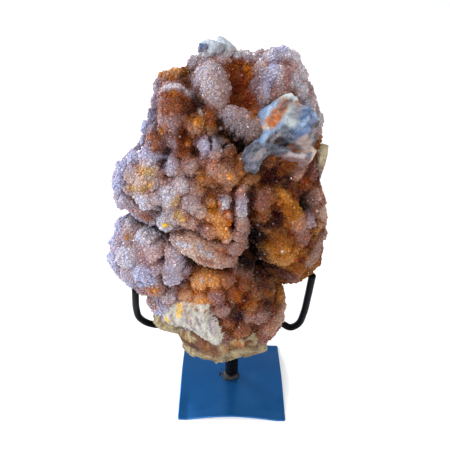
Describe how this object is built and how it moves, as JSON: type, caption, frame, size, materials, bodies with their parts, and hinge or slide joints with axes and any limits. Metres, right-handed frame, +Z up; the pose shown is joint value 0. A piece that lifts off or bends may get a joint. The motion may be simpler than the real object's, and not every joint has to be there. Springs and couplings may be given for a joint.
{
  "type": "amethyst cluster on an iron stand",
  "caption": "Upright cluster of pale amethyst and rust-stained quartz druse resting in a bent rod cradle welded on a post and square plate.",
  "frame": {"origin": "middle of the footprint of the whole object, on the surface that it stands on", "axes": "+Z up, -Y towards the crystal face, +X to the right as seen from the crystal face"},
  "size_m": [0.1894, 0.1064, 0.3425],
  "materials": {
    "blue_enamel": "gloss",
    "black_paint": "satin",
    "weld_metal": "matte",
    "amethyst": "satin"
  },
  "bodies": {
    "root": {"base_plate": "blue_enamel", "post": "black_paint", "foot_weld": "weld_metal", "cradle_weld": "weld_metal", "cradle_rod": "black_paint", "amethyst_cluster": "amethyst"}
  },
  "joints": []
}
